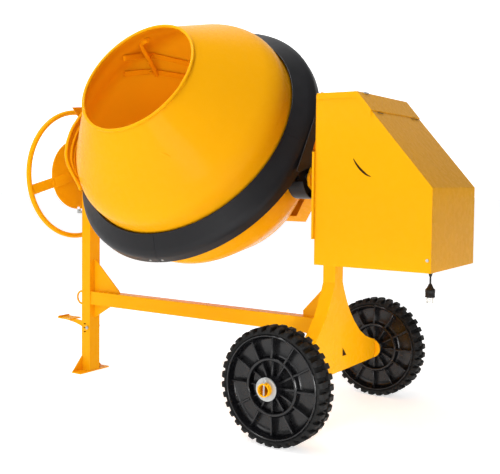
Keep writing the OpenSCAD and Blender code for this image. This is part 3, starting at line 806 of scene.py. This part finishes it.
def louvre(y, out):
    """A pressed slit on the side at y; out is 1 or -1, the side's outward direction along Y."""
    pts = [ORIGIN + Vector((px, y + out * 0.35, pz)) * MM for px, pz in LOUVRE_LINE]
    flow = smooth_path([(p / MM) for p in pts], 4)
    slit = bmesh.new()
    count = len(flow) - 1
    rings = []
    for i, here in enumerate(flow):
        wide = 0.8 + 2.8 * math.sin(math.pi * i / count)
        ahead = (flow[min(i + 1, count)] - flow[max(i - 1, 0)]).normalized()
        side = ahead.cross(Y_AXIS).normalized()
        rings.append([slit.verts.new(here + side * wide * a * MM + Vector((0, out * b * MM, 0)))
                      for a, b in ((-1, 0), (0, 0.7), (1, 0), (0, -0.7))])
    bridged(slit, rings)
    slit.faces.new(rings[0])
    slit.faces.new(rings[-1][::-1])
    return slit


piece("box_louvre_near", louvre(-195, -1), "frame", "machine_paint", material=PAINTED_SHADOW)
piece("box_louvre_far", louvre(195, 1), "frame", "machine_paint", material=PAINTED_SHADOW)

# %% [markdown]
# The mains cable leaves the floor of the box through a gland and ends at once in a moulded plug. The cable is
# a curve with a round section. The gland has a tapered boot, and the plug is turned, with finger grooves.

# %% Cable, boot and plug
cable_lo, cable_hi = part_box("power_cable")
cable_x, cable_y = (cable_lo.x + cable_hi.x) / 2, (cable_lo.y + cable_hi.y) / 2
cable_r = (cable_hi.x - cable_lo.x) / 2
exit_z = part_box("cable_gland")[0].z
plug_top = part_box("plug_body")[1].z
curve = bpy.data.curves.new("mains_cable", "CURVE")
curve.dimensions = "3D"
curve.bevel_depth = cable_r
curve.bevel_resolution = 6
curve.use_fill_caps = True
route = curve.splines.new("POLY")
ROUTE_POINTS = 16
route.points.add(ROUTE_POINTS - 1)
for k in range(ROUTE_POINTS):
    route.points[k].co = (cable_x, cable_y, exit_z + (plug_top - exit_z) * k / (ROUTE_POINTS - 1), 1)
curve.materials.append(CABLE)
mains_cable = bpy.data.objects.new("mains_cable", curve)
bpy.context.scene.collection.objects.link(mains_cable)
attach(mains_cable, "frame")
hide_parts("power_cable")

UP = Matrix.Translation((cable_x, cable_y, 0))
boot_line = [(cable_r / MM, 552), (8, 552), (8, 544), (6.8, 541), (7.0, 539), (5.6, 536), (5.8, 534),
             (4.4, 530), (cable_r / MM, 529)]
bm = turned(bmesh.new(), boot_line, 32)
piece("cable_boot", moved(bm, UP), "frame", "cable_plastic")

grooves = [(14.8 if k % 2 else 16, 466 + 2 * k) for k in range(7)]
body_line = [(0.5, 462), (14.5, 462), (16, 463.5), *grooves, (16, 486), (14, 490), (11, 492), (8.5, 498),
             (6, 503), (4.6, 506), (0.5, 506)]
bm = turned(bmesh.new(), body_line, 40)
bmesh.ops.holes_fill(bm, edges=[e for e in bm.edges if len(e.link_faces) == 1], sides=0)
piece("mains_plug", moved(bm, UP), "frame", "cable_plastic", ["plug_body"])
print("cable", round(exit_z - plug_top, 4), "m long")


# %% [markdown]
# A weld leaves a row of overlapping ripples. A short bead is a run of flattened balls a few millimetres
# apart, painted over with the rest of the frame. Long straight joints get such a run.

# %% Weld beads
def weld(bm, start, end, size):
    """Ripples from start to end, in machine mm."""
    a, b = ORIGIN + Vector(start) * MM, ORIGIN + Vector(end) * MM
    count = max(3, int((b - a).length / (size * 0.55 * MM)))
    for k in range(count + 1):
        spot = Matrix.Translation(a.lerp(b, k / count)) @ Matrix.Scale(0.8, 4, (b - a).normalized())
        bmesh.ops.create_icosphere(bm, subdivisions=1, radius=size / 2 * MM, matrix=spot)


bm = bmesh.new()
for side in (-1, 1):
    weld(bm, (-1156, side * 25.5, 292), (-1156, side * 25.5, 344), 5)
    weld(bm, (-26, side * 25.5, 292), (-26, side * 25.5, 344), 5)
    weld(bm, (-1153, side * 4.5, 346), (-1012, side * 4.5, 346), 4)
    weld(bm, (-1155.5, side * 4.5, 348), (-1155.5, side * 4.5, 480), 4)
    weld(bm, (-118, side * 4.5, 346), (-28, side * 4.5, 346), 4)
    weld(bm, (-1203, side * 29.5, 6), (-1157, side * 29.5, 6), 5)
piece("weld_beads", bm, "frame", "machine_paint", sharp=60)

# %% [markdown]
# The tread of the foot pedal is stamped with small round studs so that a boot doesn't slip. A handful of low
# domes on the pad is enough.

# %% Pedal tread
bm = bmesh.new()
for i in range(6):
    for j in range(5):
        spot = ORIGIN + Vector((-1337 + 11 * i, -22 + 11 * j, 217)) * MM
        bmesh.ops.create_uvsphere(bm, u_segments=10, v_segments=6, radius=2.4 * MM,
                                  matrix=Matrix.Translation(spot) @ Matrix.Scale(0.5, 4, (0, 0, 1)))
piece("pedal_tread", bm, "pedal", "machine_paint", sharp=60)

# %% [markdown]
# The right-hand side of the axle housing has one small triangular opening, which is dark because the inside
# is closed. A thin dark plate of painted shadow stands for it.

# %% Housing opening, painted shadow
bm = bmesh.new()
plate(bm, [(35, 242), (65, 211), (36, 212)], 0.8)
moved(bm, axes(Y_AXIS, Z_AXIS, X_AXIS, ORIGIN + Vector((21.6, 0, 0)) * MM))
piece("housing_opening", bm, "frame", "machine_paint", material=PAINTED_SHADOW)

# %% [markdown]
# The studio is a wide pale floor under a white dome. The dome is only there to be looked at: it gives no
# light and isn't reflected. The light comes from a sky that is bright on the far left only, so that the end
# of the motor box stays in gentle shade, and from large soft lamps in front and above. A small one lights the
# skirt of the axle. Another shines into the drum and tilts with it.

# %% Studio
PALE = (0.90, 0.90, 0.90)
FLOOR_GLOW, DOME_GLOW = 0.60, 1.0


def staged(name, bm, paint, glow):
    """Something of the studio that gives off a little light of its own."""
    shader = paint.node_tree.nodes["Principled BSDF"]
    shader.inputs["Emission Color"].default_value = (1, 1, 1, 1)
    shader.inputs["Emission Strength"].default_value = glow
    mesh = bpy.data.meshes.new(name)
    bm.to_mesh(mesh)
    bm.free()
    mesh.materials.append(paint)
    obj = bpy.data.objects.new(name, mesh)
    bpy.context.scene.collection.objects.link(obj)
    return obj


bm = bmesh.new()
bmesh.ops.create_circle(bm, cap_ends=True, segments=96, radius=40)
FLOOR = finish("studio_floor_paint", PALE, (0.65, 0.8), (0.4, 0.01), (60, 0.00002), gloss=0.1)
staged("studio_floor", bm, FLOOR, FLOOR_GLOW)

bm = bmesh.new()
bmesh.ops.create_uvsphere(bm, u_segments=64, v_segments=32, radius=39.5)
DOME = finish("studio_dome_paint", PALE, (0.8, 0.9), (3.0, 0.06), (900, 0.00003), gloss=0.0)
dome = staged("studio_dome", bm, DOME, DOME_GLOW)
dome.visible_diffuse = dome.visible_glossy = dome.visible_shadow = dome.visible_transmission = False

# %% [markdown]
# The sky is a soft step from dim to bright in one direction.

# %% Sky
BRIGHT_SIDE = (-0.86, 0.45, 0.2)
SKY_DIM, SKY_BRIGHT = 0.22, 1.0
SKY_START, SKY_END = 0.35, 0.68  # how far towards the bright side the step starts and ends

world = bpy.data.worlds.new("studio_sky")
bpy.context.scene.world = world
world.use_nodes = True
sky = world.node_tree
place = sky.nodes.new("ShaderNodeTexCoord")
facing = sky.nodes.new("ShaderNodeVectorMath")
facing.operation = "DOT_PRODUCT"
facing.inputs[1].default_value = BRIGHT_SIDE
sky.links.new(place.outputs["Generated"], facing.inputs[0])
step = stretched(sky, facing.outputs["Value"], SKY_DIM, SKY_BRIGHT, SKY_START, SKY_END)
step.interpolation_type = "SMOOTHSTEP"
sky.links.new(step.outputs["Result"], sky.nodes["Background"].inputs["Color"])
sky.nodes["Background"].inputs["Strength"].default_value = 1.0


# %% Lamps
def soft_lamp(name, spot, aim, size, power, spread=180):
    """An area lamp of that size in metres and power in watts; spread is in degrees."""
    data = bpy.data.lights.new(name, "AREA")
    data.shape = "RECTANGLE"
    data.size, data.size_y = size
    data.energy = power
    data.spread = math.radians(spread)
    lamp = bpy.data.objects.new(name, data)
    lamp.location = spot
    lamp.rotation_euler = (Vector(aim) - Vector(spot)).to_track_quat("-Z", "Y").to_euler()
    lamp.visible_camera = False
    bpy.context.scene.collection.objects.link(lamp)
    return lamp


middle = Vector((0, 0, 0.8))
soft_lamp("key_lamp", (-0.9, -5.0, 2.6), middle, (3.6, 2.6), 48)
soft_lamp("fill_lamp", (0.2, -3.6, 3.4), middle, (3.0, 2.0), 40)
soft_lamp("low_lamp", (1.2, -3.6, 0.5), (0.5, 0, 0.3), (1.6, 0.8), 14)
soft_lamp("skirt_lamp", (1.5, -0.9, 0.3), (0.48, 0, 0.22), (0.5, 0.3), 0.9, spread=40)
soft_lamp("top_lamp", (-0.5, -0.8, 4.2), middle, (1.6, 1.4), 70)
drum_lamp = soft_lamp("drum_lamp", DRUM @ Vector((0, 0, 0.44)), DRUM.translation, (0.3, 0.3), 0.9)
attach(drum_lamp, "yoke")
bpy.context.scene.view_settings.view_transform = "Standard"
print("lamps:", len(bpy.data.lights))
